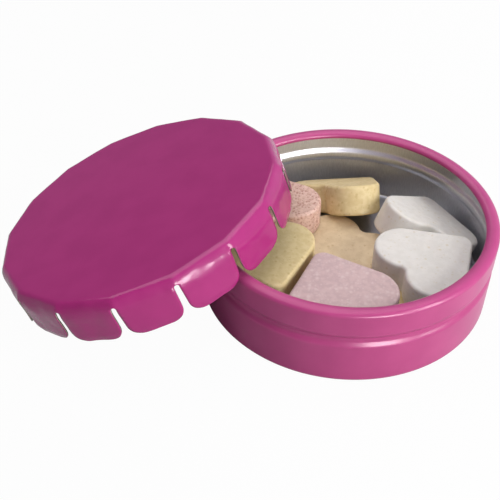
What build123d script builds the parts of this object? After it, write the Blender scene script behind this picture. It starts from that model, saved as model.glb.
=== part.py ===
"""Round mint tin: a drawn tin base, a clic lid with sixteen tabs that leans on it, and heart-shaped mints.

Millimetres and degrees. +Z is up, and the origin is the middle of the tin base's foot, on the ground.
The lid leans on the -X side of the tin base: its low edge stands on the ground, and the tin's rim
stands in the mouths of two slots between its tabs.
"""

from build123d import *
from math import asin, atan2, cos, degrees, radians, sin, sqrt
import os

# Sheet metal and clearances
sheet = 0.25
seat_gap = 0.05
lid_clearance = 0.15
overrun = 2.0

# Tin base
tin_radius = 25.0
tin_height = 14.85
curl_radius = 0.75
curl_turn = 250.0
groove_height = 9.1
groove_width = 2.6
groove_depth = 0.5
groove_bend = 0.7
foot_bend = 0.7

# Lid
tab_count = 16
rim_slot_share = 8
lid_depth = 7.6
shoulder_radius = 1.1
crown_radius = 23.4
crown_drop = 0.45
slot_width = 0.9
slot_top = 1.3
tab_corner_radius = 1.9
tip_length = 1.2
tip_curl = 0.2
lid_turn = 6.3
rim_nest = 1.25

# Mints, sized in shares of the tin's radius
mint_width_share = 0.72
mint_thickness_share = 0.216
lobe_share = 0.196
tip_share = 0.056
notch_share = 0.024
side_angle = 43.0
edge_bevel = 0.4

# Where the middle of each mint's under face is in plan, in shares of the tin's radius
mint_place_shares = {
    "cream_mint": (-0.007, 0.014),
    "low_yellow_mint": (0.446, -0.468),
    "low_left_mint": (-0.605, 0.086),
    "low_front_mint": (-0.259, -0.648),
    "front_white_mint": (0.585, -0.212),
    "left_yellow_mint": (-0.5, -0.372),
    "front_pink_mint": (-0.022, -0.576),
    "left_pink_mint": (-0.588, 0.267),
    "back_white_mint": (0.524, 0.336),
    "back_yellow_mint": (-0.018, 0.569),
}

# Which way each tip points, in degrees from +X
tip_turns = {
    "cream_mint": 239,
    "low_yellow_mint": 315,
    "low_left_mint": 90,
    "low_front_mint": 193,
    "front_white_mint": 39,
    "left_yellow_mint": 292,
    "front_pink_mint": 116,
    "left_pink_mint": 118,
    "back_white_mint": 84,
    "back_yellow_mint": 58,
}

# Those that lean on others: which way they slope down, and how steeply, in degrees
leans = {
    "back_white_mint": (36, 26),
    "back_yellow_mint": (104, 31),
}

mint_width = mint_width_share * tin_radius
mint_thickness = mint_thickness_share * tin_radius
lobe_radius = lobe_share * tin_radius
tip_radius = tip_share * tin_radius
notch_radius = notch_share * tin_radius

# Levels inside the tin
low_layer = sheet + seat_gap
high_layer = low_layer + mint_thickness + seat_gap
upper_mints = ("front_white_mint", "left_yellow_mint", "front_pink_mint", "left_pink_mint")

# Heart outline: lies along X with its tip at +X, and its middle is the middle of its length
lobe_offset = mint_width / 2 - lobe_radius
lobe_back = (lobe_radius + lobe_offset * cos(radians(side_angle))) / sin(radians(side_angle))
tip_back = tip_radius / sin(radians(side_angle))
heart_middle = (lobe_back + lobe_radius + tip_back - tip_radius) / 2
lobe_centre = (heart_middle - lobe_back, lobe_offset)
tip_centre = (heart_middle - tip_back, 0)
notch_back = sqrt(lobe_radius**2 - lobe_offset**2)


def on_circle(centre, radius, angle):
    """Point of a circle at an angle in degrees."""
    return (centre[0] + radius * cos(radians(angle)), centre[1] + radius * sin(radians(angle)))


with BuildSketch() as heart:
    tangent_angle = 90 - side_angle
    notch_angle = 180 + degrees(atan2(lobe_offset, notch_back))
    with BuildLine():
        tip_arc = ThreePointArc(
            on_circle(tip_centre, tip_radius, 0),
            on_circle(tip_centre, tip_radius, tangent_angle / 2),
            on_circle(tip_centre, tip_radius, tangent_angle),
        )
        flank = Line(tip_arc @ 1, on_circle(lobe_centre, lobe_radius, tangent_angle))
        ThreePointArc(
            flank @ 1,
            on_circle(lobe_centre, lobe_radius, (tangent_angle + notch_angle) / 2),
            on_circle(lobe_centre, lobe_radius, notch_angle),
        )
        mirror(about=Plane.XZ)
    make_face()
    notch = heart.vertices().filter_by(lambda corner: corner.X < 0 and abs(corner.Y) < notch_radius)
    fillet(notch, notch_radius)


def reach(angle):
    """How far the heart's outline goes from its middle in a direction given in degrees."""
    direction = (cos(radians(angle)), sin(radians(angle)))
    lobe = lobe_centre[0] * direction[0] + abs(lobe_centre[1] * direction[1]) + lobe_radius
    return max(lobe, tip_centre[0] * direction[0] + tip_radius)


def mint_plane(name):
    """Plane of a mint's under face, with X along the tip; a leaning mint's lowest point is at the low layer."""
    lean_turn, lean = leans.get(name, (0, 0))
    level = high_layer if name in upper_mints else low_layer
    slope = sin(radians(lean))
    normal = Vector(slope * cos(radians(lean_turn)), slope * sin(radians(lean_turn)), cos(radians(lean)))
    tip = Vector(cos(radians(tip_turns[name])), sin(radians(tip_turns[name])), 0)
    along = (tip - normal * tip.dot(normal)).normalized()
    face = Plane(origin=(0, 0, 0), x_dir=along, z_dir=normal)
    down = Vector(0, 0, -1)
    down_turn = degrees(atan2(down.dot(face.y_dir), down.dot(face.x_dir)))
    x, y = (share * tin_radius for share in mint_place_shares[name])
    return Plane(origin=(x, y, level + slope * reach(down_turn)), x_dir=along, z_dir=normal)


# Tin base: one drawn sheet, from the flat bottom to the curled rim
wall_line = tin_radius - sheet / 2
curl_line = curl_radius - sheet / 2
curl_centre = (tin_radius - curl_radius, tin_height - curl_radius)

with BuildPart() as tin_base:
    with BuildSketch(Plane.XZ):
        with BuildLine():
            sheet_line = FilletPolyline(
                (0, sheet / 2),
                (wall_line, sheet / 2),
                (wall_line, groove_height - groove_width / 2),
                (wall_line - groove_depth, groove_height),
                (wall_line, groove_height + groove_width / 2),
                (wall_line, curl_centre[1]),
                radius=[foot_bend, groove_bend, groove_bend, groove_bend],
            )
            CenterArc(curl_centre, curl_line, 0, curl_turn)
            offset(amount=sheet / 2, side=Side.BOTH)
        make_face()
    revolve(axis=Axis.Z)
tin_base.part.label = "tin_base"

# Lid: how it leans follows from the two slots that the rim stands in
lid_apothem = tin_radius + lid_clearance + sheet
corner_radius = lid_apothem / cos(radians(180 / tab_count))
tab_turn = 360 / tab_count
low_tab = 180 - (lid_turn + tab_turn * (tab_count // 2 - 1) + tab_turn / 2)
tab_straight = lid_apothem * sin(radians(tab_turn / 2)) - slot_width / 2 - tab_corner_radius
low_edge = (lid_apothem - tip_curl) * cos(radians(low_tab)) + tab_straight * sin(radians(low_tab))
slots_from_middle = round(tab_count / rim_slot_share)
near_slot = lid_turn - slots_from_middle * tab_turn
far_slot = lid_turn + slots_from_middle * tab_turn
lid_tilt = asin((tin_height - rim_nest) / (low_edge + corner_radius * cos(radians(far_slot))))
rim_circle = tin_radius - curl_radius


def slot_foot(turn):
    """Foot of a slot, in plan, from the middle of the lid's top."""
    along = corner_radius * cos(radians(turn)) * cos(lid_tilt) + lid_depth * sin(lid_tilt)
    return Vector(along, corner_radius * sin(radians(turn)), 0)


near_foot = slot_foot(near_slot)
far_foot = slot_foot(far_slot)
chord = far_foot - near_foot
chord_middle = Vector(-chord.Y, chord.X, 0).normalized() * sqrt(rim_circle**2 - (chord.length / 2) ** 2)
lid_middle = chord_middle - (near_foot + far_foot) / 2
lid_height = low_edge * sin(lid_tilt) + lid_depth * cos(lid_tilt)
lid_plane = Plane(
    origin=(lid_middle.X, lid_middle.Y, lid_height),
    x_dir=(cos(lid_tilt), 0, sin(lid_tilt)),
    z_dir=(-sin(lid_tilt), 0, cos(lid_tilt)),
)


def lid_form(inset):
    """Solid inside the lid's outer face, or inside its inner face when inset by the sheet."""
    skirt_top = lid_depth - tip_length
    turned = lid_turn
    with BuildPart() as form:
        with BuildSketch(Plane.XY.offset(-skirt_top)):
            RegularPolygon(lid_apothem - inset, tab_count, major_radius=False, rotation=turned)
        extrude(amount=skirt_top - inset)
        fillet(form.faces().sort_by(Axis.Z)[-1].edges(), shoulder_radius - inset)
        with BuildSketch(Plane.XZ):
            with BuildLine():
                Polyline(
                    (0, -inset),
                    (crown_radius, -inset),
                    (corner_radius, -inset - crown_drop),
                    (corner_radius, -lid_depth),
                    (0, -lid_depth),
                    close=True,
                )
            make_face()
        revolve(axis=Axis.Z, mode=Mode.INTERSECT)
        with BuildSketch(Plane.XY.offset(-skirt_top)):
            RegularPolygon(lid_apothem - inset, tab_count, major_radius=False, rotation=turned)
        with BuildSketch(Plane.XY.offset(-lid_depth)):
            RegularPolygon(lid_apothem - tip_curl - inset, tab_count, major_radius=False, rotation=turned)
        loft()
    return form.part


with BuildPart() as slot_cutter:
    with BuildSketch(Plane.YZ):
        half_slot = slot_width / 2
        half_mouth = half_slot + tab_corner_radius
        slot_crown = -slot_top - half_slot
        corner_level = -lid_depth + tab_corner_radius
        with BuildLine():
            side = Line((half_slot, slot_crown), (half_slot, corner_level))
            corner = ThreePointArc(
                side @ 1,
                on_circle((half_mouth, corner_level), tab_corner_radius, 225),
                (half_mouth, -lid_depth),
            )
            Line(corner @ 1, (half_mouth, -lid_depth - overrun))
            Line((half_mouth, -lid_depth - overrun), (0, -lid_depth - overrun))
            ThreePointArc(side @ 0, on_circle((0, slot_crown), half_slot, 45), (0, -slot_top))
            mirror(about=Plane.YZ)
        make_face()
    extrude(amount=corner_radius + overrun)

with BuildPart(lid_plane) as lid:
    add(lid_form(0))
    add(lid_form(sheet), mode=Mode.SUBTRACT)
    with PolarLocations(0, tab_count, start_angle=lid_turn):
        add(slot_cutter.part, mode=Mode.SUBTRACT)
lid.part.label = "lid"

os.makedirs("parts", exist_ok=True)
export_step(tin_base.part, "parts/tin_base.step")
export_step(lid.part, "parts/lid.step")

for name in mint_place_shares:
    with BuildPart() as mint:
        with BuildSketch(mint_plane(name)):
            add(heart.sketch)
        extrude(amount=mint_thickness)
        broad_faces = mint.faces().sort_by(SortBy.AREA)[-2:]
        chamfer(broad_faces.edges(), edge_bevel)
    mint.part.label = name
    export_step(mint.part, f"parts/{name}.step")
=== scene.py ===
"""Round mint tin, its sixteen-tab lid leaning on the rim, and heart-shaped mints inside.

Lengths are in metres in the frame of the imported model: +Z is up, and the origin is the middle of the
tin's foot.
"""

import logging
from collections.abc import Callable, Sequence
from dataclasses import dataclass
from enum import Enum
from math import acos, asin, atan2, ceil, cos, pi, radians, sin, sqrt, tan, tau

import bmesh
import bpy
from mathutils import Matrix, Vector, noise


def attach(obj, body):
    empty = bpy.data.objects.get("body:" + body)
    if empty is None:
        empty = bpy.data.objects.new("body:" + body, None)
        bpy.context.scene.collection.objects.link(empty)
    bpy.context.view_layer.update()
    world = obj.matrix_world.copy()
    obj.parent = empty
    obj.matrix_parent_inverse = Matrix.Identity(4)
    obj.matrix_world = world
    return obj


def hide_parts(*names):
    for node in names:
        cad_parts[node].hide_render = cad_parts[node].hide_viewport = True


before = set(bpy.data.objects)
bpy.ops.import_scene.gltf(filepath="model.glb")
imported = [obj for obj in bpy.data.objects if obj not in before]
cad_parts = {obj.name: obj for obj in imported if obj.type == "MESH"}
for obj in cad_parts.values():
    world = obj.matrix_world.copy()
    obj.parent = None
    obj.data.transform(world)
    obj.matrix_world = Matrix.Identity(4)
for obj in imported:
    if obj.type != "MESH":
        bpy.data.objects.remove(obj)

log = logging.getLogger("mint_tin")
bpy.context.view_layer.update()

Point = tuple[float, float]
Band = tuple[float, float]
Ramp = tuple[float, float, float, float]
Colour = tuple[float, float, float]
Place = tuple[float, float, float]

MM = 0.001
SHEET = 0.25 * MM
TIN_RADIUS = 25.0 * MM
SEAT_GAP = 0.05 * MM
WELD = 0.002 * MM


class Side(Enum):
    """Material places of a sheet-metal mesh, in the order of its slots."""

    LACQUER = 0
    STEEL = 1


def smooth(low: float, high: float, value: float) -> float:
    """Smooth step from 0 at low to 1 at high."""
    share = min(max((value - low) / (high - low), 0.0), 1.0)
    return share * share * (3 - 2 * share)


def quarter(steps: int) -> list[float]:
    """Angles from 0 to a quarter turn in equal steps, with both ends."""
    return [pi / 2 * i / steps for i in range(steps + 1)]


def arc(centre: Point, radius: float, start: float, end: float, steps: int) -> list[Point]:
    """Points along a circular arc in equal steps, with both ends; angles are in radians."""
    turns = (start + (end - start) * i / steps for i in range(steps + 1))
    return [(centre[0] + radius * cos(a), centre[1] + radius * sin(a)) for a in turns]


def rounded(points: Sequence[Point], radii: Sequence[float], steps: int) -> list[Point]:
    """Polyline with its inner corners rounded.

    Args:
        points: The corners, with both ends.
        radii: One radius for each inner corner.
        steps: Steps along each rounded corner.

    Returns:
        The points of the rounded line.
    """
    line = [points[0]]
    for before, corner, after, radius in zip(points, points[1:], points[2:], radii):
        here = Vector(corner)
        back = (Vector(before) - here).normalized()
        ahead = (Vector(after) - here).normalized()
        half = back.angle(ahead) / 2
        middle = here + (back + ahead).normalized() * radius / sin(half)
        start = here + back * radius / tan(half) - middle
        end = here + ahead * radius / tan(half) - middle
        sweep = start.angle_signed(end)
        for i in range(steps + 1):
            spot = middle + Matrix.Rotation(-sweep * i / steps, 2) @ start
            line.append((spot.x, spot.y))
    line.append(points[-1])
    return line


def evenly(line: Sequence[Point], spacing: float, closed: bool = False) -> list[Point]:
    """Points at about equal distances along a line.

    Args:
        line: Points of the line.
        spacing: Wanted distance between neighbours.
        closed: Whether the last point joins the first.

    Returns:
        The new points. A closed line's first point isn't repeated.
    """
    track = [Vector(p) for p in line] + ([Vector(line[0])] if closed else [])
    lengths = [0.0]
    for a, b in zip(track, track[1:]):
        lengths.append(lengths[-1] + (b - a).length)
    count = max(1, ceil(lengths[-1] / spacing))
    result, at = [], 0
    for i in range(count + (0 if closed else 1)):
        goal = lengths[-1] * i / count
        while at < len(track) - 2 and lengths[at + 1] < goal:
            at += 1
        run = lengths[at + 1] - lengths[at]
        spot = track[at].lerp(track[at + 1], (goal - lengths[at]) / run if run else 0.0)
        result.append((spot.x, spot.y))
    return result


def ring_faces(rings: int, count: int) -> list[tuple[int, ...]]:
    """Faces between neighbouring rings of points.

    Args:
        rings: Number of rings.
        count: Number of points in each ring.

    Returns:
        Each face as the indices of its points, ring after ring.
    """
    faces: list[tuple[int, ...]] = []
    for ring in range(rings - 1):
        for k in range(count):
            a, b = ring * count + k, ring * count + (k + 1) % count
            faces.append((a, b, b + count, a + count))
    return faces


def build_mesh(
    name: str,
    verts: Sequence[Vector],
    faces: Sequence[Sequence[int]],
    materials: Sequence[bpy.types.Material],
    sides: Sequence[int] = (),
) -> bpy.types.Object:
    """Makes a smooth-shaded mesh object from points and faces.

    Args:
        name: Name of the object.
        verts: The points.
        faces: Indices of each face's points.
        materials: Its materials, in the order of its slots.
        sides: Material slot of each face, if there is more than one.

    Returns:
        The new object, linked to the scene.
    """
    mesh = bpy.data.meshes.new(name)
    mesh.from_pydata([tuple(v) for v in verts], [], [tuple(f) for f in faces])
    if sides:
        mesh.polygons.foreach_set("material_index", list(sides))
    work = bmesh.new()
    work.from_mesh(mesh)
    bmesh.ops.remove_doubles(work, verts=work.verts, dist=WELD)
    bmesh.ops.recalc_face_normals(work, faces=work.faces)
    work.to_mesh(mesh)
    work.free()
    mesh.polygons.foreach_set("use_smooth", [True] * len(mesh.polygons))
    mesh.update()
    for material in materials:
        mesh.materials.append(material)
    thing = bpy.data.objects.new(name, mesh)
    bpy.context.scene.collection.objects.link(thing)
    return thing


class Nodes:
    """A node tree, with short ways to add to it."""

    def __init__(self, tree: bpy.types.NodeTree) -> None:
        """Takes the tree."""
        self.tree = tree

    def add(self, kind: str) -> bpy.types.Node:
        """Adds one node."""
        return self.tree.nodes.new(kind)

    def put(self, target: bpy.types.NodeSocket, value: object) -> None:
        """Links a socket to an input, or writes a value there.

        Args:
            target: The input.
            value: A socket, a number, a colour or a vector.
        """
        if isinstance(value, bpy.types.NodeSocket):
            self.tree.links.new(value, target)
        elif isinstance(value, tuple) and len(value) == 3 and target.type == "RGBA":
            target.default_value = (*value, 1.0)
        else:
            target.default_value = value

    def axis(self, place: bpy.types.NodeSocket, label: str) -> bpy.types.NodeSocket:
        """One coordinate of a place.

        Args:
            place: The place.
            label: X, Y or Z.

        Returns:
            The coordinate.
        """
        split = self.add("ShaderNodeSeparateXYZ")
        self.put(split.inputs[0], place)
        return split.outputs[label]

    def ramp(
        self,
        value: object,
        low: float,
        high: float,
        bottom: float = 0.0,
        top: float = 1.0,
        soft: bool = True,
    ) -> bpy.types.NodeSocket:
        """Maps a value between two limits.

        Args:
            value: The value.
            low: Where the result starts to change.
            high: Where it stops.
            bottom: Result at low.
            top: Result at high.
            soft: Whether it eases in and out.

        Returns:
            The mapped value.
        """
        step = self.add("ShaderNodeMapRange")
        step.interpolation_type = "SMOOTHSTEP" if soft else "LINEAR"
        self.put(step.inputs["Value"], value)
        limits = {"From Min": low, "From Max": high, "To Min": bottom, "To Max": top}
        for label, number in limits.items():
            self.put(step.inputs[label], number)
        return step.outputs["Result"]

    def mix(
        self, factor: object, first: object, second: object, colours: bool = True
    ) -> bpy.types.NodeSocket:
        """Mixes two colours or two numbers.

        Args:
            factor: Share of the second.
            first: What a factor of 0 gives.
            second: What a factor of 1 gives.
            colours: Whether they are colours.

        Returns:
            The mixture.
        """
        mixer = self.add("ShaderNodeMix")
        mixer.data_type = "RGBA" if colours else "FLOAT"
        kind = "Color" if colours else "Float"
        ends = {end.identifier: end for end in (*mixer.inputs, *mixer.outputs)}
        for label, value in (("Factor_Float", factor), (f"A_{kind}", first), (f"B_{kind}", second)):
            self.put(ends[label], value)
        return ends[f"Result_{kind}"]

    def calc(self, operation: str, first: object, second: object) -> bpy.types.NodeSocket:
        """One sum on two values.

        Args:
            operation: Name of the sum.
            first: First value.
            second: Second value.

        Returns:
            Its result.
        """
        sum_node = self.add("ShaderNodeMath")
        sum_node.operation = operation
        self.put(sum_node.inputs[0], first)
        self.put(sum_node.inputs[1], second)
        return sum_node.outputs[0]


class Recipe(Nodes):
    """Node tree of one material, built around a single surface shader.

    Attributes:
        SPECK_CORE: How far from its middle a speck is whole, in shares of its cell.
        SPECK_EDGE: How far from its middle it has faded out.
    """

    SPECK_CORE = 0.05
    SPECK_EDGE = 0.65

    def __init__(self, name: str) -> None:
        """Starts a material with a surface shader and the place of each point.

        Args:
            name: Name of the material.
        """
        self.material = bpy.data.materials.new(name)
        self.material.use_nodes = True
        super().__init__(self.material.node_tree)
        self.shader = self.tree.nodes["Principled BSDF"]
        self.place = self.add("ShaderNodeTexCoord").outputs["Object"]

    def set(self, **values: object) -> None:
        """Sets inputs of the surface shader, a socket as a link and anything else as a value."""
        for label, value in values.items():
            self.put(self.shader.inputs[label.replace("_", " ")], value)

    def clouds(
        self, size: float, detail: float, stretch: Sequence[float] = (1, 1, 1), seed: float = 0.0
    ) -> bpy.types.NodeSocket:
        """Soft noise around 0.5.

        Args:
            size: Size of a cloud, in metres.
            detail: Number of finer layers.
            stretch: How much longer clouds are along each axis.
            seed: Shift of the pattern.

        Returns:
            The noise, from 0 to 1.
        """
        shift = self.add("ShaderNodeMapping")
        self.put(shift.inputs["Vector"], self.place)
        self.put(shift.inputs["Location"], (seed, seed / 2, -seed))
        self.put(shift.inputs["Scale"], tuple(1 / s for s in stretch))
        cloud = self.add("ShaderNodeTexNoise")
        self.put(cloud.inputs["Vector"], shift.outputs["Vector"])
        self.put(cloud.inputs["Scale"], 1 / size)
        self.put(cloud.inputs["Detail"], detail)
        return cloud.outputs["Fac"]

    def patches(
        self, clouds: bpy.types.NodeSocket, spread: float, bottom: float = 0.0, top: float = 1.0
    ) -> bpy.types.NodeSocket:
        """Sharpens soft noise into patches, whose edges reach as far as the spread from its middle."""
        return self.ramp(clouds, 0.5 - spread, 0.5 + spread, bottom, top)

    def specks(self, size: float, share: float) -> bpy.types.NodeSocket:
        """Round specks in a share of the cells of a grainy pattern.

        Args:
            size: Size of a cell, in metres.
            share: Share of the cells that hold a speck.

        Returns:
            The specks, from 0 outside to 1 inside.
        """
        cells = self.add("ShaderNodeTexVoronoi")
        self.put(cells.inputs["Vector"], self.place)
        self.put(cells.inputs["Scale"], 1 / size)
        split = self.add("ShaderNodeSeparateColor")
        self.put(split.inputs[0], cells.outputs["Color"])
        chosen = self.calc("LESS_THAN", split.outputs[0], share)
        inside = self.ramp(cells.outputs["Distance"], self.SPECK_CORE, self.SPECK_EDGE, 1.0, 0.0)
        return self.calc("MULTIPLY", chosen, inside)

    def relief(self, height: bpy.types.NodeSocket, depth: float) -> None:
        """Raises the surface's normals by a height map.

        Args:
            height: The height map.
            depth: Height of its highest places, in metres.
        """
        bump = self.add("ShaderNodeBump")
        self.put(bump.inputs["Strength"], 1.0)
        self.put(bump.inputs["Distance"], depth)
        self.put(bump.inputs["Height"], height)
        self.set(Normal=bump.outputs["Normal"])


@dataclass(frozen=True)
class Lacquer:
    """Satin lacquer over tinplate.

    Attributes:
        name: Name of the material.
        deep: Colour in the thicker places.
        light: Colour in the thinner places.
        roughness: Roughness of the lacquer.
        gloss: Strength of its reflections.
        coat: Weight of the clear varnish over it.
        coat_roughness: Roughness of the varnish.
        mottle_size: Size of the thicker and thinner places.
        mottle_spread: How softly they run into each other.
        wear_size: Size of the duller places.
        wear: How much its roughness varies with them.
        peel_size: Size of its fine orange peel.
        peel: Height of the peel.
    """

    name: str
    deep: Colour
    light: Colour
    roughness: float
    gloss: float
    coat: float
    coat_roughness: float = 0.1
    mottle_size: float = 6 * MM
    mottle_spread: float = 0.2
    wear_size: float = 9 * MM
    wear: float = 0.02
    peel_size: float = 1.1 * MM
    peel: float = 0.002 * MM

    def make(self) -> bpy.types.Material:
        """Builds the material.

        Returns:
            The material.
        """
        recipe = Recipe(self.name)
        mottle = recipe.patches(recipe.clouds(self.mottle_size, detail=3.0), self.mottle_spread)
        recipe.set(Base_Color=recipe.mix(mottle, self.deep, self.light))
        dull = recipe.clouds(self.wear_size, detail=1.0, seed=3.0)
        smoothest, roughest = self.roughness - self.wear, self.roughness + self.wear
        recipe.set(Roughness=recipe.ramp(dull, 0.0, 1.0, smoothest, roughest))
        recipe.set(Specular_IOR_Level=self.gloss)
        recipe.set(Coat_Weight=self.coat, Coat_Roughness=self.coat_roughness)
        recipe.relief(recipe.clouds(self.peel_size, detail=0.0, seed=7.0), self.peel)
        return recipe.material


@dataclass(frozen=True)
class BareSteel:
    """Bare rolled tinplate.

    Attributes:
        name: Name of the material.
        dark: Colour of the darker grain.
        light: Colour of the lighter grain.
        roughness: Roughness of the sheet.
        uneven: How much smoother and rougher it is in places.
        metal: How metallic it is.
        grain_size: Width of the grain.
        grain_length: How much longer the grain is, up the wall.
        grain_weight: Strength of the grain in the colour.
        stain_size: Size of the soft stains.
        stain_spread: How softly they change the roughness.
        stain_weight: Strength of the stains in the colour.
        contrast: Where the colour goes from dark to light.
        depth: Height of the grain.
    """

    name: str
    dark: Colour
    light: Colour
    roughness: float
    uneven: Band = (-0.02, 0.03)
    metal: float = 0.8
    grain_size: float = 0.1 * MM
    grain_length: float = 9.0
    grain_weight: float = 0.5
    stain_size: float = 5 * MM
    stain_spread: float = 0.2
    stain_weight: float = 0.15
    contrast: Band = (0.2, 0.45)
    depth: float = 0.004 * MM

    def make(self) -> bpy.types.Material:
        """Builds the material.

        Returns:
            The material.
        """
        recipe = Recipe(self.name)
        grain = recipe.clouds(self.grain_size, detail=3.0, stretch=(1, 1, self.grain_length))
        stain = recipe.clouds(self.stain_size, detail=3.0, seed=2.0)
        lines = recipe.calc("MULTIPLY", grain, self.grain_weight)
        both = recipe.calc("ADD", lines, recipe.calc("MULTIPLY", stain, self.stain_weight))
        recipe.set(Base_Color=recipe.mix(recipe.ramp(both, *self.contrast), self.dark, self.light))
        smoothest, roughest = (self.roughness + change for change in self.uneven)
        stained = recipe.patches(stain, self.stain_spread, smoothest, roughest)
        recipe.set(Roughness=stained, Metallic=self.metal)
        recipe.relief(grain, self.depth)
        return recipe.material


@dataclass(frozen=True)
class Sugar:
    """Pressed sugar with a chalky skin.

    Attributes:
        name: Name of the material.
        slot: Name of a material slot.
        base: Main colour.
        cloud: Colour of the soft patches.
        speck: Colour of the specks.
        speck_share: Share of the grains that are specks.
        speck_size: Size of a grain.
        cloud_size: Size of the soft patches.
        cloud_spread: How softly the patches run into each other.
        small_size: Size of the small specks, in shares of the others.
        small_strength: How strongly the small ones show.
        roughness: Roughness between the patches and in them.
        glow: Share of the light that goes through the skin.
        glow_depth: How deep it goes.
        glow_reach: How far each colour of it goes, in shares of that depth.
        grit_size: Size of the grit on the skin.
        grit: Height of the grit.
    """

    name: str
    slot: str
    base: Colour
    cloud: Colour
    speck: Colour
    speck_share: float
    speck_size: float
    cloud_size: float
    cloud_spread: float = 0.15
    small_size: float = 0.55
    small_strength: float = 0.7
    roughness: Band = (0.62, 0.8)
    glow: float = 0.15
    glow_depth: float = 0.6 * MM
    glow_reach: Colour = (1.0, 0.8, 0.6)
    grit_size: float = 0.3 * MM
    grit: float = 0.02 * MM

    def make(self) -> bpy.types.Material:
        """Builds the material.

        Returns:
            The material.
        """
        recipe = Recipe(self.name)
        patches = recipe.patches(recipe.clouds(self.cloud_size, detail=4.0), self.cloud_spread)
        ground = recipe.mix(patches, self.base, self.cloud)
        large = recipe.specks(self.speck_size, self.speck_share)
        small = recipe.specks(self.small_size * self.speck_size, self.speck_share)
        shown = recipe.calc("MAXIMUM", large, recipe.calc("MULTIPLY", small, self.small_strength))
        recipe.set(Base_Color=recipe.mix(shown, ground, self.speck))
        recipe.set(Roughness=recipe.ramp(patches, 0.0, 1.0, *self.roughness))
        recipe.set(Subsurface_Weight=self.glow, Subsurface_Scale=self.glow_depth)
        recipe.set(Subsurface_Radius=self.glow_reach)
        recipe.relief(recipe.clouds(self.grit_size, detail=3.0, seed=9.0), self.grit)
        return recipe.material


# Painted shade: the lid is the same paint as the tin, given a darker colour so that the lid renders darker
# than the tin.
LID_LACQUER_SHADED = Lacquer(
    "shaded lid lacquer", (0.385, 0.018, 0.166), (0.415, 0.022, 0.180), roughness=0.22, gloss=0.25, coat=0.5
)
TIN_LACQUER = Lacquer(
    "tin lacquer", (0.45, 0.050, 0.197), (0.49, 0.060, 0.217), roughness=0.3, gloss=0.4, coat=0.1
)
INNER_STEEL = BareSteel("bare steel", (0.52, 0.53, 0.57), (0.64, 0.65, 0.69), roughness=0.36)
# Painted shade: the lid's bare steel is a darker copy of the tin's, for the lid's underside and cut edges,
# which lie in shade.
LID_STEEL_SHADED = BareSteel("shaded lid steel", (0.24, 0.21, 0.16), (0.34, 0.31, 0.25), roughness=0.38)


class Flavour(Enum):
    """Finishes of the mints."""

    WHITE = Sugar(
        "white sugar", "white_mint", (0.76, 0.735, 0.68), (0.72, 0.695, 0.64), (0.66, 0.60, 0.47),
        speck_share=0.06, speck_size=0.6 * MM, cloud_size=1.3 * MM,
    )
    CREAM = Sugar(
        "cream sugar", "cream_mint", (0.76, 0.61, 0.40), (0.70, 0.55, 0.35), (0.62, 0.46, 0.26),
        speck_share=0.08, speck_size=0.7 * MM, cloud_size=1.3 * MM,
    )
    YELLOW = Sugar(
        "yellow sugar", "yellow_mint", (0.74, 0.60, 0.32), (0.68, 0.54, 0.27), (0.60, 0.45, 0.20),
        speck_share=0.10, speck_size=0.6 * MM, cloud_size=1.0 * MM,
    )
    ROSE = Sugar(
        "rose sugar", "pink_mint", (0.74, 0.52, 0.43), (0.63, 0.41, 0.33), (0.42, 0.19, 0.15),
        speck_share=0.50, speck_size=0.5 * MM, cloud_size=0.7 * MM,
    )
    PINK = Sugar(
        "pink sugar", "pink_mint", (0.62, 0.455, 0.44), (0.56, 0.405, 0.40), (0.67, 0.53, 0.51),
        speck_share=0.30, speck_size=0.8 * MM, cloud_size=0.9 * MM,
    )


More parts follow.
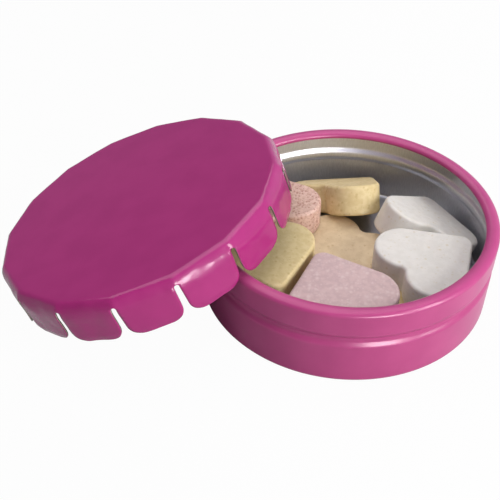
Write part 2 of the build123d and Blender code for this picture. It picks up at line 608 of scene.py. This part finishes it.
@dataclass
class TinBase:
    """Drawn tin: flat bottom, pressed-in groove and curled rim.

    Attributes:
        radius: Outer radius.
        height: Height of the curled rim's top.
        curl_radius: Radius of the curl's tube that the lid's place follows from.
        curl_reach: Half of the pressed curl's width, outside.
        curl_rise: Half of its height, outside.
        curl_turn: How far the curl goes round, in radians.
        groove_height: Height of the groove's middle.
        groove_width: Width of its mouth.
        groove_floor: Width of its floor.
        groove_depth: Depth.
        groove_bend: Bend radius of the groove's centre line.
        foot_bend: Bend radius of the foot's centre line.
        flat_margin: How far inside the wall the even bottom ends.
        flat_spacing: Distance between rows on the even bottom.
        spacing: Distance between rows elsewhere.
        steps: Number of steps round the axis.
    """

    radius: float = TIN_RADIUS
    height: float = 14.85 * MM
    curl_radius: float = 0.75 * MM
    curl_reach: float = 1.12 * MM
    curl_rise: float = 0.72 * MM
    curl_turn: float = radians(250)
    groove_height: float = 9.1 * MM
    groove_width: float = 2.5 * MM
    groove_floor: float = 0.9 * MM
    groove_depth: float = 0.5 * MM
    groove_bend: float = 0.8 * MM
    foot_bend: float = 0.7 * MM
    flat_margin: float = 2 * MM
    flat_spacing: float = 1.0 * MM
    spacing: float = 0.22 * MM
    steps: int = 288

    def centre_line(self) -> list[Point]:
        """Middle of the sheet, from the axis to the curl's end.

        Returns:
            Its points, as radius and height.
        """
        wall = self.radius - SHEET / 2
        mouth, flat = self.groove_width / 2, self.groove_floor / 2
        curl = (self.radius - self.curl_reach, self.height - self.curl_rise)
        corners = [
            (0.0, SHEET / 2),
            (wall, SHEET / 2),
            (wall, self.groove_height - mouth),
            (wall - self.groove_depth, self.groove_height - flat),
            (wall - self.groove_depth, self.groove_height + flat),
            (wall, self.groove_height + mouth),
            (wall, curl[1]),
        ]
        line = rounded(corners, [self.foot_bend] + [self.groove_bend] * 4, steps=10)
        reach, rise = self.curl_reach - SHEET / 2, self.curl_rise - SHEET / 2
        round_the_rim = arc((0.0, 0.0), 1.0, 0.0, self.curl_turn, steps=36)[1:]
        return line + [(curl[0] + reach * x, curl[1] + rise * z) for x, z in round_the_rim]

    def skin(self) -> list[tuple[Point, Side]]:
        """The sheet's closed outline.

        Returns:
            Its points, each with the side of the sheet that starts there.
        """
        line = self.centre_line()
        flat_end = (self.radius - self.flat_margin, line[0][1])
        flat = evenly([line[0], flat_end], self.flat_spacing)
        line = flat[:-1] + evenly([flat_end] + line[1:], self.spacing)
        outside, inside = [], []
        for i, here in enumerate(line):
            before, after = line[max(i - 1, 0)], line[min(i + 1, len(line) - 1)]
            run = (Vector(after) - Vector(before)).normalized()
            offset = Vector((run.y, -run.x)) * SHEET / 2
            outside.append((max(here[0] + offset.x, 0.0), here[1] + offset.y))
            inside.append((max(here[0] - offset.x, 0.0), here[1] - offset.y))
        outside[0], inside[0] = (0.0, 0.0), (0.0, SHEET)
        return [(p, Side.LACQUER) for p in outside] + [(p, Side.STEEL) for p in reversed(inside)]

    def build(self) -> bpy.types.Object:
        """Builds and dresses the tin.

        Returns:
            The tin.
        """
        skin = self.skin()
        turns = [tau * k / self.steps for k in range(self.steps)]
        verts = [Vector((r * cos(turn), r * sin(turn), z)) for (r, z), _ in skin for turn in turns]
        sides = [side.value for _, side in skin[:-1] for _ in turns]
        faces = ring_faces(len(skin), self.steps)
        tin = build_mesh("drawn_tin", verts, faces, [TIN_LACQUER.make(), INNER_STEEL.make()], sides)
        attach(tin, "tin")
        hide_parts("tin_base")
        return tin


@dataclass
class TabbedLid:
    """Pressed lid with sixteen tabs, leaning with the tin's rim in the mouths of two of its slots.

    Attributes:
        tin: The tin that it leans on.
        clearance: Room between the lid's flats and the tin.
        tabs: Number of tabs.
        rim_slots: Slots between the lean's direction and a slot that the rim stands in.
        depth: Height of the lid.
        crown_shares: Rings of points on the flat top, in shares of the way to its edge.
        round_in: How far inward the rings take to go from sixteen-sided to round.
        edge_bend: Radius of the bend at the top's edge.
        edge_turn: How far that bend turns the sheet, in radians.
        edge_rows: Rows of points round that bend.
        tab_sweep: Radius of the gentle sweep below it, down to the tabs' straight part.
        sweep_rows: Rows of points down that sweep.
        slot_width: Width of a slot.
        slot_flare: How much wider a slot is at its mouth, on each side.
        slot_top: Depth of a slot's upper end.
        slot_rows: Rows of points round a slot's upper end.
        tab_corner: Corner radius that the lid's place follows from.
        soft_corner: Corner radius of a tab as pressed.
        tab_rows: Rows of points down a tab's straight part, and again round its corners.
        tip_length: Length of the curled tip of a tab.
        tip_curl: How far the tip goes inward.
        tip_ease: Power by which the tip's curl sets in.
        turn: Direction of a slot, from the lean's direction, in radians.
        nest: How deep the rim stands in the slots' mouths.
        bow: How far a tab's sides bend inward.
        bow_ease: Power by which they do so, away from the tab's middle.
        bow_start: How far below the slots' tops the bow has set in.
        dent: Depth of the tabs' soft dents.
        dent_size: Size of the dents.
        ripple_size: Size of the finer ripples in them.
        ripple_share: Height of the ripples, in shares of the dents.
        columns: Number of steps across a tab.
    """

    tin: TinBase
    clearance: float = 0.15 * MM
    tabs: int = 16
    rim_slots: int = 2
    depth: float = 7.6 * MM
    crown_shares: tuple[float, ...] = (0, 0.2, 0.4, 0.55, 0.7, 0.8, 0.88, 0.95, 0.98)
    round_in: float = 5 * MM
    edge_bend: float = 1.1 * MM
    edge_turn: float = radians(60)
    edge_rows: int = 8
    tab_sweep: float = 5.0 * MM
    sweep_rows: int = 5
    slot_width: float = 0.9 * MM
    slot_flare: float = 0.2 * MM
    slot_top: float = 1.3 * MM
    slot_rows: int = 6
    tab_corner: float = 1.9 * MM
    soft_corner: float = 2.4 * MM
    tab_rows: int = 12
    tip_length: float = 1.2 * MM
    tip_curl: float = 0.2 * MM
    tip_ease: float = 1.5
    turn: float = radians(6.3)
    nest: float = 1.25 * MM
    bow: float = 0.25 * MM
    bow_ease: int = 3
    bow_start: float = 3 * MM
    dent: float = 0.25 * MM
    dent_size: float = 3.6 * MM
    ripple_size: float = 1.5 * MM
    ripple_share: float = 0.35
    columns: int = 22

    @property
    def apothem(self) -> float:
        """Distance from the lid's axis to a tab's outer face."""
        return self.tin.radius + self.clearance + SHEET

    @property
    def step(self) -> float:
        """Angle from one slot to the next."""
        return tau / self.tabs

    @property
    def corner_radius(self) -> float:
        """Distance from the lid's axis to a corner between two tabs."""
        return self.apothem / cos(self.step / 2)

    @property
    def half_tab(self) -> float:
        """Half of a tab's width, with its share of the slots."""
        return self.apothem * tan(self.step / 2)

    def place(self) -> Matrix:
        """Where the lid leans: its low tab on the ground and the rim in two slots.

        Returns:
            The way from the lid's own frame to the model's.
        """
        near = self.turn - self.rim_slots * self.step
        far = self.turn + self.rim_slots * self.step
        low_tab = pi - (self.turn + self.step * (self.tabs // 2 - 1) + self.step / 2)
        straight = self.apothem * sin(self.step / 2) - self.slot_width / 2 - self.tab_corner
        low = (self.apothem - self.tip_curl) * cos(low_tab) + straight * sin(low_tab)
        tilt = asin((self.tin.height - self.nest) / (low + self.corner_radius * cos(far)))
        near_foot, far_foot = self.slot_foot(near, tilt), self.slot_foot(far, tilt)
        chord = far_foot - near_foot
        rim = self.tin.radius - self.tin.curl_radius
        middle = Vector((-chord.y, chord.x)).normalized() * sqrt(rim**2 - (chord.length / 2) ** 2)
        centre = middle - (near_foot + far_foot) / 2
        height = low * sin(tilt) + self.depth * cos(tilt)
        return Matrix.Translation((centre.x, centre.y, height)) @ Matrix.Rotation(-tilt, 4, "Y")

    def slot_foot(self, turn: float, tilt: float) -> Vector:
        """Foot of a slot of the leaning lid, in plan, from the middle of its top."""
        along = self.corner_radius * cos(turn) * cos(tilt) + self.depth * sin(tilt)
        return Vector((along, self.corner_radius * sin(turn)))

    def turned(self, depth: float) -> float:
        """How far the skin has turned down.

        Args:
            depth: Depth below the lid's top.

        Returns:
            The turn at that depth, in radians.
        """
        edge_depth = self.edge_bend * (1 - cos(self.edge_turn))
        if depth <= edge_depth:
            return acos(1 - depth / self.edge_bend)
        return acos(max(cos(self.edge_turn) - (depth - edge_depth) / self.tab_sweep, 0.0))

    def inset(self, turned: float) -> float:
        """How far inward of the tab's face the skin is, where it has turned down so far."""
        sweep = self.tab_sweep * (1 - sin(max(turned, self.edge_turn)))
        return sweep + self.edge_bend * (sin(self.edge_turn) - sin(min(turned, self.edge_turn)))

    def profile(self) -> list[tuple[float, float]]:
        """Rows of the top and its bend, down to the slots.

        Returns:
            For each row, the inset from the tab's face and the depth.
        """
        crown = self.apothem - self.inset(0.0)
        flat = [(self.apothem - crown * share, 0.0) for share in self.crown_shares]
        turns = (self.edge_turn * i / self.edge_rows for i in range(self.edge_rows + 1))
        edge = [self.edge_bend * (1 - cos(turn)) for turn in turns]
        below = self.slot_top - edge[-1]
        sweep = [edge[-1] + below * i / self.sweep_rows for i in range(1, self.sweep_rows)]
        return flat + [(self.inset(self.turned(depth)), depth) for depth in edge + sweep]

    def half_width(self, depth: float) -> float:
        """Half of a tab's width.

        Args:
            depth: Depth below the lid's top.

        Returns:
            Half of the width at that depth.
        """
        half_slot = self.slot_width / 2
        below = depth - self.slot_top
        if below <= 0:
            return self.half_tab
        if below < half_slot:
            return self.half_tab - sqrt(half_slot**2 - (half_slot - below) ** 2)
        flare = self.slot_flare * (below - half_slot) / (self.depth - self.slot_top)
        width = self.half_tab - half_slot - flare
        into_corner = self.soft_corner - (self.depth - depth)
        if into_corner > 0:
            width -= self.soft_corner - sqrt(max(self.soft_corner**2 - into_corner**2, 0.0))
        return width

    def skirt_depths(self) -> list[float]:
        """Depths of the rows of points down a tab.

        Returns:
            The depths, from the slots' upper ends to the tab's tip.
        """
        half_slot = self.slot_width / 2
        crown = [self.slot_top + half_slot * (1 - cos(a)) for a in quarter(self.slot_rows)]
        corner = self.depth - self.soft_corner
        run = corner - crown[-1]
        straight = [crown[-1] + run * i / self.tab_rows for i in range(1, self.tab_rows + 1)]
        tip = [corner + self.soft_corner * sin(a) for a in quarter(self.tab_rows)[1:]]
        return crown + straight + tip

    def spot(self, tab: int, across: float, inset: float, height: float) -> Vector:
        """A point of the lid's skin in the lid's own frame.

        Args:
            tab: Number of the tab.
            across: Place across the tab at its outer face, from its middle.
            inset: Distance inward from the tab's outer face.
            height: Height, with 0 at the lid's top.

        Returns:
            The point.
        """
        away = atan2(across, self.apothem)
        turn = self.turn + self.step * (tab + 0.5) + away
        roundness = smooth(0.0, self.round_in, inset)
        radius = (self.apothem - inset) * (roundness + (1 - roundness) / cos(away))
        return Vector((radius * cos(turn), radius * sin(turn), height))

    def dented(self, spot: Vector, turned: float) -> Vector:
        """A point of the skin, pressed in a little by the soft dents of the tabs.

        Args:
            spot: The point.
            turned: How far the skin has turned down there, in radians.

        Returns:
            The moved point.
        """
        wave = noise.noise(spot / self.dent_size) + self.ripple_share * noise.noise(spot / self.ripple_size)
        depth = self.dent * sin(turned) * min(max((1 + wave) / 2, 0.0), 1.0)
        out = Vector((spot.x, spot.y, 0)).normalized()
        return spot - (out * sin(turned) + Vector((0, 0, cos(turned)))) * depth

    def rows(self, tab: int) -> list[list[Vector]]:
        """Rows of points of one tab, in the lid's own frame.

        Args:
            tab: Number of the tab.

        Returns:
            The rows, from the lid's middle to the tab's tip.
        """
        middle = self.turn + self.step * (tab + 0.5)
        out = Vector((cos(middle), sin(middle), 0))
        shares = [2 * c / self.columns - 1 for c in range(self.columns + 1)]
        rows = []
        for inset, depth in self.profile():
            spots = (self.spot(tab, self.half_tab * share, inset, -depth) for share in shares)
            rows.append([self.dented(spot, self.turned(depth)) for spot in spots])
        for depth in self.skirt_depths():
            half = self.half_width(depth)
            curl = self.tip_curl * smooth(self.depth - self.tip_length, self.depth, depth) ** self.tip_ease
            settle = smooth(self.slot_top, self.slot_top + self.bow_start, depth)
            turned = self.turned(depth)
            row = []
            for share in shares:
                across = half * share
                bow = self.bow * abs(across / self.half_tab) ** self.bow_ease * settle
                spot = self.spot(tab, across, self.inset(turned), -depth)
                row.append(self.dented(spot - out * (curl + bow), turned))
            rows.append(row)
        return rows

    def build(self) -> bpy.types.Object:
        """Builds and dresses the lid.

        Returns:
            The lid.
        """
        verts: list[Vector] = []
        faces: list[tuple[int, ...]] = []
        place = self.place()
        wide = self.columns + 1
        for tab in range(self.tabs):
            rows = self.rows(tab)
            start = len(verts)
            verts += [place @ spot for row in rows for spot in row]
            for r in range(len(rows) - 1):
                for c in range(self.columns):
                    a = start + r * wide + c
                    faces.append((a, a + wide, a + wide + 1, a + 1))
        lid = build_mesh("tabbed_lid", verts, faces, [LID_LACQUER_SHADED.make(), LID_STEEL_SHADED.make()])
        wall = lid.modifiers.new("sheet", "SOLIDIFY")
        wall.thickness = SHEET
        wall.offset = -1.0
        wall.use_even_offset = True
        wall.material_offset = Side.STEEL.value
        wall.material_offset_rim = Side.STEEL.value
        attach(lid, "lid")
        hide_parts("lid")
        return lid


@dataclass
class HeartMint:
    """A pressed heart-shaped mint.

    Attributes:
        node: Name of the mint in the frame.
        body: Body that it rides on.
        flavour: Its finish.
        place_shares: Middle of its under face in plan, in shares of the tin's radius.
        tip_turn: Direction of its tip, in degrees.
        upper: Whether it lies in the upper layer.
        lean_turn: Direction in which it slopes down, in degrees.
        lean: How steeply it leans, in degrees.
        width: Width across the lobes.
        thickness: Thickness.
        lobe: Radius of a lobe.
        tip: Radius of the tip.
        side_angle: Angle of a flank to the heart's middle line, in radians.
        notch: Radius of the notch.
        bevel: Width of the softened edges.
        spacing: Distance between points of the outline.
        bevel_rows: Rows of points round a softened edge.
        wall_rows: Rows of points up the wall.
        face_rings: Rings of points on each broad face.
        core: Size of the innermost ring, in shares of the outline.
        chip: Depth of the chips along the edges.
        chip_size: Size of the chips.
        crumb_size: Size of the finer crumbs.
        crumb_share: Depth of the crumbs, in shares of the chips.
        even_share: Depth of both away from the edges, in shares of that along them.
        seed_steps: How the chips' pattern shifts with the mint's place and direction.
    """

    node: str
    body: str
    flavour: Flavour
    place_shares: Point
    tip_turn: float
    upper: bool = False
    lean_turn: float = 0.0
    lean: float = 0.0
    width: float = 18.0 * MM
    thickness: float = 5.4 * MM
    lobe: float = 4.9 * MM
    tip: float = 1.9 * MM
    side_angle: float = radians(43)
    notch: float = 1.4 * MM
    bevel: float = 0.5 * MM
    spacing: float = 0.24 * MM
    bevel_rows: int = 6
    wall_rows: int = 14
    face_rings: int = 26
    core: float = 0.004
    chip: float = 0.03 * MM
    chip_size: float = 0.9 * MM
    crumb_size: float = 0.35 * MM
    crumb_share: float = 0.6
    even_share: float = 0.15
    seed_steps: Place = (7.0, 5.0, 30.0)

    @property
    def slot(self) -> str:
        """Name of the material slot given with its finish."""
        return self.flavour.value.slot

    @property
    def lobe_offset(self) -> float:
        """Distance of a lobe's middle from the heart's middle line."""
        return self.width / 2 - self.lobe

    def centres(self) -> tuple[Point, Point]:
        """Middles of a lobe and of the tip.

        Returns:
            Both, from the middle of the heart's length.
        """
        lobe_back = (self.lobe + self.lobe_offset * cos(self.side_angle)) / sin(self.side_angle)
        tip_back = self.tip / sin(self.side_angle)
        middle = (lobe_back + self.lobe + tip_back - self.tip) / 2
        return (middle - lobe_back, self.lobe_offset), (middle - tip_back, 0.0)

    def outline(self) -> list[Point]:
        """The heart's outline, with its tip along +X.

        Returns:
            Its points.
        """
        lobe, tip = self.centres()
        flank = pi / 2 - self.side_angle
        notch_x = lobe[0] - sqrt((self.lobe + self.notch) ** 2 - self.lobe_offset**2)
        notch_turn = atan2(-self.lobe_offset, notch_x - lobe[0]) % tau
        half = arc(tip, self.tip, 0.0, flank, steps=8)
        half += arc(lobe, self.lobe, flank, notch_turn, steps=60)
        inner = atan2(self.lobe_offset, lobe[0] - notch_x)
        half += arc((notch_x, 0.0), self.notch, inner, 0.0, steps=6)
        return evenly(half + [(x, -y) for x, y in reversed(half[1:-1])], self.spacing, closed=True)

    def face(self) -> Matrix:
        """Place of the under face, with X along the tip.

        Returns:
            The way from the mint's own frame to the model's.
        """
        slope, turn = sin(radians(self.lean)), radians(self.lean_turn)
        normal = Vector((slope * cos(turn), slope * sin(turn), cos(radians(self.lean))))
        tip = Vector((cos(radians(self.tip_turn)), sin(radians(self.tip_turn)), 0.0))
        along = (tip - normal * tip.dot(normal)).normalized()
        across = normal.cross(along)
        level = SHEET + SEAT_GAP + (self.thickness + SEAT_GAP if self.upper else 0.0)
        drop = max((-(along * x + across * y)).z for x, y in self.outline()) if self.lean else 0.0
        x, y = (share * TIN_RADIUS for share in self.place_shares)
        place = Matrix((along, across, normal)).transposed().to_4x4()
        place.translation = (x, y, level + drop)
        return place

    def rim(self) -> list[tuple[Vector, Vector]]:
        """The outline's points with their inward directions.

        Returns:
            For each point, its place and the direction inward.
        """
        edge = [Vector(p) for p in self.outline()]
        inward = []
        for before, after in zip([edge[-1]] + edge, edge[1:] + [edge[0]]):
            run = (after - before).normalized()
            inward.append(Vector((-run.y, run.x)))
        return list(zip(edge, inward))

    def rings(self) -> list[tuple[float, float, float]]:
        """Rings of points from the middle of the under face, over the edges, to the middle of the top.

        Returns:
            For each ring, its inset from the outline, its height, and its size in shares.
        """
        soft = quarter(self.bevel_rows)
        under = [(self.bevel * (1 - sin(a)), self.bevel * (1 - cos(a)), 1.0) for a in soft]
        between = self.thickness - 2 * self.bevel
        heights = (self.bevel + between * i / self.wall_rows for i in range(1, self.wall_rows))
        wall = [(0.0, height, 1.0) for height in heights]
        over = [(inset, self.thickness - height, share) for inset, height, share in reversed(under)]
        inner = [1 - i / self.face_rings for i in range(1, self.face_rings)] + [self.core]
        bottom = [(self.bevel, 0.0, share) for share in reversed(inner)]
        top = [(self.bevel, self.thickness, share) for share in inner]
        return bottom + under + wall + over + top

    def chipped(self, point: Vector, at_edge: bool) -> Vector:
        """A point of the skin, moved in by the chips there.

        Args:
            point: The point, in the mint's own frame.
            at_edge: Whether it is on a softened edge.

        Returns:
            The moved point.
        """
        along, across, turn = self.seed_steps
        seed = Vector((self.place_shares[0] * along, self.place_shares[1] * across, self.tip_turn / turn))
        crumbs = noise.noise(point / self.crumb_size + seed)
        rough = noise.noise(point / self.chip_size + seed) + self.crumb_share * crumbs
        depth = self.chip * (1.0 if at_edge else self.even_share) * (rough - self.crumb_share)
        middle = Vector((0, 0, self.thickness / 2))
        return point + (point - middle).normalized() * min(depth, 0.0)

    def build(self) -> bpy.types.Object:
        """Builds and dresses the mint.

        Returns:
            The mint.
        """
        rim, rings, place = self.rim(), self.rings(), self.face()
        verts = []
        for inset, height, share in rings:
            at_edge = inset > 0 and share == 1.0
            for spot, inward in rim:
                flat = (spot + inward * inset) * share
                verts.append(place @ self.chipped(Vector((flat.x, flat.y, height)), at_edge))
        faces = ring_faces(len(rings), len(rim))
        faces.append(tuple(reversed(range(len(rim)))))
        faces.append(tuple(range(len(verts) - len(rim), len(verts))))
        name = self.node.replace("mint", "heart")
        mint = build_mesh(name, verts, faces, [self.flavour.value.make()])
        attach(mint, self.body)
        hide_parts(self.node)
        self.slot
        return mint


def mints() -> list[HeartMint]:
    """All the mints.

    Returns:
        The mints, from the bottom layer up.
    """
    return [
        HeartMint("cream_mint", "tin", Flavour.CREAM, (-0.007, 0.014), 239),
        HeartMint("low_yellow_mint", "tin", Flavour.YELLOW, (0.446, -0.468), 315),
        HeartMint("low_left_mint", "tin", Flavour.WHITE, (-0.605, 0.086), 90),
        HeartMint("low_front_mint", "tin", Flavour.CREAM, (-0.259, -0.648), 193),
        HeartMint("front_white_mint", "front_white", Flavour.WHITE, (0.585, -0.212), 39, upper=True),
        HeartMint("left_yellow_mint", "left_yellow", Flavour.YELLOW, (-0.5, -0.372), 292, upper=True),
        HeartMint("front_pink_mint", "front_pink", Flavour.PINK, (-0.022, -0.576), 116, upper=True),
        HeartMint("left_pink_mint", "left_pink", Flavour.ROSE, (-0.588, 0.267), 118, upper=True),
        HeartMint("back_white_mint", "back_white", Flavour.WHITE, (0.524, 0.336), 84, lean_turn=36, lean=26),
        HeartMint("back_yellow_mint", "tin", Flavour.YELLOW, (-0.018, 0.569), 58, lean_turn=104, lean=31),
    ]


@dataclass(frozen=True)
class Lamp:
    """A soft rectangular lamp that points at the tin.

    Attributes:
        name: Its name.
        spot: Where it hangs.
        size: Width and height of its face.
        power: Its power in watts.
        shine_only: Whether it shows in reflections alone.
    """

    name: str
    spot: Place
    size: Point
    power: float
    shine_only: bool = False

    def hang(self) -> None:
        """Hangs the lamp."""
        light = bpy.data.lights.new(self.name, "AREA")
        light.shape = "RECTANGLE"
        light.size, light.size_y = self.size
        light.energy = self.power
        holder = bpy.data.objects.new(self.name, light)
        bpy.context.scene.collection.objects.link(holder)
        holder.visible_diffuse = not self.shine_only
        aim = (-Vector(self.spot)).to_track_quat("-Z", "Y").to_matrix().to_4x4()
        holder.matrix_world = Matrix.Translation(self.spot) @ aim


LAMPS = (
    Lamp("window", spot=(0.28, -0.14, 0.15), size=(0.1, 0.24), power=1.0),
    Lamp("top", spot=(-0.08, 0.08, 0.38), size=(0.5, 0.5), power=1.25),
    Lamp("fill", spot=(0.175, -0.29, 0.07), size=(0.1, 0.1), power=0.18),
    Lamp("shine", spot=(0.17, -0.29, 0.07), size=(0.14, 0.13), power=0.9, shine_only=True),
)


@dataclass
class Studio:
    """White floor, soft surroundings, lamps and the camera.

    A ramp gives where it starts and stops, and its values there.

    Attributes:
        elevation: Height of the camera above the horizon, in radians.
        distance: Distance of the camera from the origin.
        aim: Camera's yaw, pitch and roll away from the origin, in radians.
        focal: Focal length in pixels of the square picture.
        pixels: Width of the picture in pixels.
        sensor: Width of the sensor in millimetres.
        near: Nearest distance that it sees.
        floor_reach: Distance from the origin to each side of the floor.
        floor_drop: How far the floor lies below the tin.
        floor_roughness: Roughness of the floor.
        floor_shade_tone: Ramp from left to right of how much light the floor gives back, darker to the left
            as painted shade for the bounce and reflections there.
        floor_mirrored: Least tone of the floor in reflections.
        shade_middle: Middle of the painted shade round the tin and the lid, in reflections of the floor.
        shade_edge: Ramp away from that middle of how white reflections show the floor.
        left_reflection_shade: Ramp from left to right by which they show less of it on the left, as painted
            shade.
        white: Share of white that the camera sees on the floor, over its shadow.
        daylight: Strength of the surroundings' light.
        cool: Colour of that light, a little cooler than the lamps.
        side_light: Ramp from left to right of the surroundings in reflections.
    """

    elevation: float = radians(42.55)
    distance: float = 145.31 * MM
    aim: Place = (radians(6.65), radians(1.0), radians(5.75))
    focal: float = 802.44
    pixels: float = 500.0
    sensor: float = 36.0
    near: float = 5 * MM
    floor_reach: float = 1.2
    floor_drop: float = 0.01 * MM
    floor_roughness: float = 0.9
    floor_shade_tone: Ramp = (-50 * MM, 30 * MM, 0.42, 0.62)
    floor_mirrored: float = 0.3
    shade_middle: Place = (-20 * MM, 0.0, 0.0)
    shade_edge: Ramp = (24 * MM, 42 * MM, 0.0, 0.4)
    left_reflection_shade: Ramp = (-70 * MM, -45 * MM, 0.2, 1.0)
    white: float = 0.97
    daylight: float = 0.215
    cool: Colour = (0.90, 0.84, 1.0)
    side_light: Ramp = (-0.4, 0.3, 0.27, 0.9)

    def camera(self) -> None:
        """Places the camera."""
        back = Vector((0, -cos(self.elevation), sin(self.elevation)))
        right = Vector((1, 0, 0))
        turned = Matrix((right, back.cross(right), back)).transposed().to_4x4()
        for angle, axis in zip(self.aim, "YXZ"):
            turned = turned @ Matrix.Rotation(angle, 4, axis)
        lens = bpy.data.cameras.new("camera")
        lens.sensor_width = self.sensor
        lens.lens = self.focal / self.pixels * self.sensor
        lens.clip_start = self.near
        eye = bpy.data.objects.new("camera", lens)
        bpy.context.scene.collection.objects.link(eye)
        eye.matrix_world = Matrix.Translation(back * self.distance) @ turned
        bpy.context.scene.camera = eye

    def floor_paint(self) -> bpy.types.Material:
        """Paint of the floor, white to the camera apart from the object's shadow, with painted shade in the
        light it bounces and in its reflections.

        Returns:
            The material.
        """
        paint = Recipe("floor")
        ray = paint.add("ShaderNodeLightPath").outputs
        mirrored = paint.calc("MAXIMUM", ray["Is Glossy Ray"], ray["Is Transmission Ray"])
        across = paint.axis(paint.place, "X")
        least = paint.calc("MULTIPLY", mirrored, self.floor_mirrored)
        # Painted shade: the floor is darker to the left, which darkens the light it bounces and shows in
        # reflections on the left of the tin and lid.
        tone = paint.calc("MAXIMUM", paint.ramp(across, *self.floor_shade_tone), least)
        paint.set(Base_Color=tone, Roughness=self.floor_roughness, Specular_IOR_Level=0.0)
        # Painted shade in reflections: near the lid and to the left, reflections show less of the floor's
        # white glow.
        gap = paint.add("ShaderNodeVectorMath")
        gap.operation = "DISTANCE"
        paint.put(gap.inputs[0], paint.place)
        paint.put(gap.inputs[1], self.shade_middle)
        away = paint.ramp(gap.outputs["Value"], *self.shade_edge)
        shown = paint.calc("MULTIPLY", away, paint.ramp(across, *self.left_reflection_shade))
        seen = paint.calc("MAXIMUM", ray["Is Camera Ray"], paint.calc("MULTIPLY", mirrored, shown))
        glow = paint.add("ShaderNodeEmission")
        paint.put(glow.inputs["Strength"], 1.0)
        mixer = paint.add("ShaderNodeMixShader")
        paint.put(mixer.inputs[0], paint.calc("MULTIPLY", seen, self.white))
        paint.put(mixer.inputs[1], paint.shader.outputs[0])
        paint.put(mixer.inputs[2], glow.outputs[0])
        paint.put(paint.tree.nodes["Material Output"].inputs["Surface"], mixer.outputs[0])
        return paint.material

    def floor(self) -> None:
        """Lays the floor."""
        reach = self.floor_reach
        corners = ((-reach, -reach), (reach, -reach), (reach, reach), (-reach, reach))
        verts = [Vector((x, y, -self.floor_drop)) for x, y in corners]
        plane = build_mesh("floor", verts, [(0, 1, 2, 3)], [self.floor_paint()])

    def sky(self) -> None:
        """Fills the surroundings with soft light, white to the camera."""
        world = bpy.data.worlds.new("studio")
        bpy.context.scene.world = world
        world.use_nodes = True
        air = Nodes(world.node_tree)
        ray = air.add("ShaderNodeLightPath").outputs
        across = air.axis(air.add("ShaderNodeTexCoord").outputs["Generated"], "X")
        side = air.ramp(across, *self.side_light, soft=False)
        glossy = air.mix(ray["Is Glossy Ray"], self.daylight, side, colours=False)
        through = air.mix(ray["Is Transmission Ray"], glossy, 1.0, colours=False)
        shade = air.tree.nodes["Background"].inputs
        air.put(shade["Color"], air.mix(ray["Is Camera Ray"], self.cool, (1.0, 1.0, 1.0)))
        air.put(shade["Strength"], air.mix(ray["Is Camera Ray"], through, 1.0, colours=False))

    def build(self) -> None:
        """Builds the whole studio."""
        self.camera()
        self.floor()
        self.sky()
        for lamp in LAMPS:
            lamp.hang()
        bpy.context.scene.view_settings.view_transform = "Standard"


def main() -> None:
    """Builds the studio and every piece."""
    logging.basicConfig(level=logging.INFO, format="%(message)s")
    Studio().build()
    tin = TinBase()
    pieces: list[Callable[[], bpy.types.Object]] = [tin.build, TabbedLid(tin).build]
    pieces += [mint.build for mint in mints()]
    for build in pieces:
        piece = build()
        log.info("%s: %d points", piece.name, len(piece.data.vertices))


if __name__ == "__main__":
    main()
